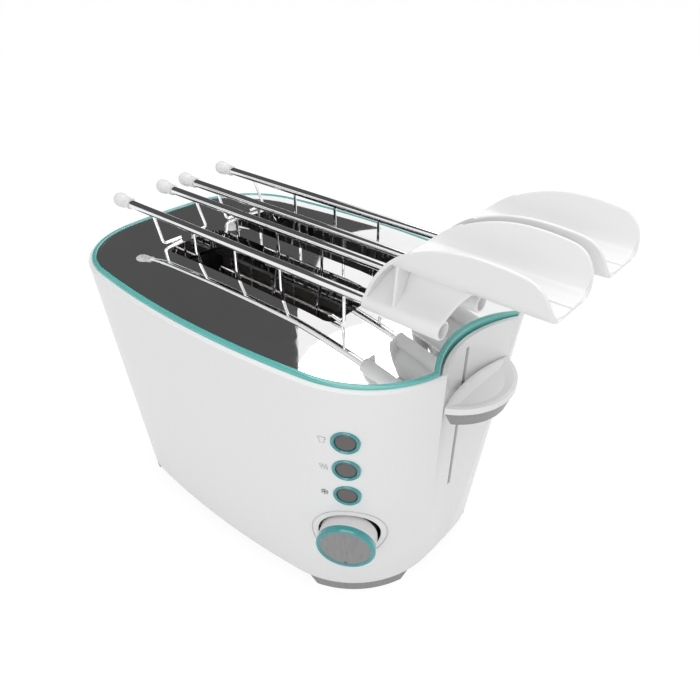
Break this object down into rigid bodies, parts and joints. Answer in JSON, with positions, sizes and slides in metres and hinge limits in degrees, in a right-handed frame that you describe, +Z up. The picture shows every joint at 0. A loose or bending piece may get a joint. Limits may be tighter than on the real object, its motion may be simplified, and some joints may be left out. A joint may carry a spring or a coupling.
{
  "type": "toaster",
  "caption": "Oval toaster that flares upwards, with a domed metal top, long bread slots, hinged lift-out tongs, a lever in a hollowed end, round push buttons and a dial.",
  "frame": {"origin": "middle of the footprint, on the surface that the toaster stands on", "axes": "+X towards the lever end, -Y the front with the buttons and the dial, +Z up"},
  "size_m": [0.3474, 0.1962, 0.2534],
  "materials": {
    "white_shell": "glossy white",
    "teal_trim": "glossy teal",
    "teal_bezel": "glossy teal",
    "mirror_plate": "polished",
    "base_black": "fine texture",
    "screw_steel": "plain",
    "bush_rubber": "matt",
    "silver_trim": "satin silver",
    "pad_rubber": "matt",
    "tray_white": "white",
    "chamber_steel": "galvanised",
    "mica": "mica sheet",
    "ribbon": "oxidised",
    "wire_steel": "bright",
    "yoke_iron": "plain",
    "coil_copper": "enamelled wire",
    "button_grey": "satin",
    "board_green": "solder mask",
    "sensor_grey": "plain",
    "knob_white": "glossy",
    "knob_grey": "satin",
    "pin_steel": "bright",
    "handle_white": "glossy",
    "jaw_chrome": "polished wire",
    "cap_white": "glossy"
  },
  "bodies": {
    "housing": {"body_shell": "white_shell", "rim_ring": "teal_trim", "bezel_cancel": "teal_bezel", "bezel_reheat": "teal_bezel", "bezel_defrost": "teal_bezel", "top_plate": "mirror_plate", "base_plate": "base_black", "base_screws": "screw_steel", "cord_bush": "bush_rubber", "foot_front_right": "silver_trim", "foot_front_left": "silver_trim", "foot_rear_right": "silver_trim", "foot_rear_left": "silver_trim", "foot_pads": "pad_rubber", "chamber_left_plate": "chamber_steel", "chamber_right_plate": "chamber_steel", "heater_board_front": "mica", "heater_board_centre": "mica", "heater_board_rear": "mica", "heater_ribbon_front": "ribbon", "heater_ribbon_centre": "ribbon", "heater_ribbon_rear": "ribbon", "bread_guard_front": "wire_steel", "bread_guard_rear": "wire_steel", "lift_spring": "wire_steel", "guide_post": "wire_steel", "magnet_yoke": "yoke_iron", "magnet_coil": "coil_copper", "control_board": "board_green", "dial_sensor": "sensor_grey"},
    "carriage": {"carriage_bracket": "chamber_steel", "bread_rest_front": "chamber_steel", "bread_rest_rear": "chamber_steel", "lever_arm": "wire_steel", "lever_band": "silver_trim", "lever_cap": "white_shell"},
    "tray": {"crumb_tray": "tray_white"},
    "knob": {"knob_shaft": "wire_steel", "knob_skirt": "knob_white", "knob_ring": "teal_bezel", "knob_face": "knob_grey"},
    "cancel_button": {"button_cancel": "button_grey"},
    "reheat_button": {"button_reheat": "button_grey"},
    "defrost_button": {"button_defrost": "button_grey"},
    "front_tong_pivot": {"front_tong_hinge_pin": "pin_steel", "front_tong_spring": "wire_steel"},
    "front_tong_front_half": {"front_tong_front_handle": "handle_white", "front_tong_front_jaw": "jaw_chrome", "front_tong_front_tip_cap": "cap_white"},
    "front_tong_rear_half": {"front_tong_rear_handle": "handle_white", "front_tong_rear_jaw": "jaw_chrome", "front_tong_rear_tip_cap": "cap_white"},
    "rear_tong_pivot": {"rear_tong_hinge_pin": "pin_steel", "rear_tong_spring": "wire_steel"},
    "rear_tong_front_half": {"rear_tong_front_handle": "handle_white", "rear_tong_front_jaw": "jaw_chrome", "rear_tong_front_tip_cap": "cap_white"},
    "rear_tong_rear_half": {"rear_tong_rear_handle": "handle_white", "rear_tong_rear_jaw": "jaw_chrome", "rear_tong_rear_tip_cap": "cap_white"}
  },
  "joints": [
    {"name": "carriage_slide", "type": "slide", "parent": "housing", "child": "carriage", "axis": [0, 0, 1], "range_m": [-0.068, 0.012], "stiffness_N_per_m": 150, "springref_m": 0.006, "deforming": ["lift_spring"]},
    {"name": "tray_slide", "type": "slide", "parent": "housing", "child": "tray", "axis": [-1, 0, 0], "range_m": [0, 0.24]},
    {"name": "knob_turn", "type": "hinge", "parent": "housing", "child": "knob", "pos_m": [0.10869, -0.07272, 0.0601], "axis": [-0.4866, 0.8671, 0.1063], "range_deg": [0, 300]},
    {"name": "cancel_press", "type": "slide", "parent": "housing", "child": "cancel_button", "axis": [-0.4866, 0.8671, 0.1063], "range_m": [0, 0.0015], "stiffness_N_per_m": 500},
    {"name": "reheat_press", "type": "slide", "parent": "housing", "child": "reheat_button", "axis": [-0.4866, 0.8671, 0.1063], "range_m": [0, 0.0015], "stiffness_N_per_m": 500},
    {"name": "defrost_press", "type": "slide", "parent": "housing", "child": "defrost_button", "axis": [-0.4866, 0.8671, 0.1063], "range_m": [0, 0.0015], "stiffness_N_per_m": 500},
    {"name": "front_tong_lift", "type": "slide", "parent": "housing", "child": "front_tong_pivot", "axis": [0, 0, 1], "range_m": [0, 0.12]},
    {"name": "front_tong_front_open", "type": "hinge", "parent": "front_tong_pivot", "child": "front_tong_front_half", "pos_m": [0.14, -0.0279, 0.2266], "axis": [-1, 0, 0], "range_deg": [0, 2.2], "stiffness_Nm_per_rad": 1.2, "springref_deg": -2.86},
    {"name": "front_tong_rear_open", "type": "hinge", "parent": "front_tong_pivot", "child": "front_tong_rear_half", "pos_m": [0.14, -0.0279, 0.2266], "axis": [1, 0, 0], "range_deg": [0, 2.2], "stiffness_Nm_per_rad": 1.2, "springref_deg": -2.86},
    {"name": "rear_tong_lift", "type": "slide", "parent": "housing", "child": "rear_tong_pivot", "axis": [0, 0, 1], "range_m": [0, 0.12]},
    {"name": "rear_tong_front_open", "type": "hinge", "parent": "rear_tong_pivot", "child": "rear_tong_front_half", "pos_m": [0.14, 0.0279, 0.2266], "axis": [-1, 0, 0], "range_deg": [0, 2.2], "stiffness_Nm_per_rad": 1.2, "springref_deg": -2.86},
    {"name": "rear_tong_rear_open", "type": "hinge", "parent": "rear_tong_pivot", "child": "rear_tong_rear_half", "pos_m": [0.14, 0.0279, 0.2266], "axis": [1, 0, 0], "range_deg": [0, 2.2], "stiffness_Nm_per_rad": 1.2, "springref_deg": -2.86}
  ],
  "couplings": [
    {"joint": "front_tong_rear_open", "follows": "front_tong_front_open", "ratio": 1},
    {"joint": "rear_tong_rear_open", "follows": "rear_tong_front_open", "ratio": 1}
  ]
}
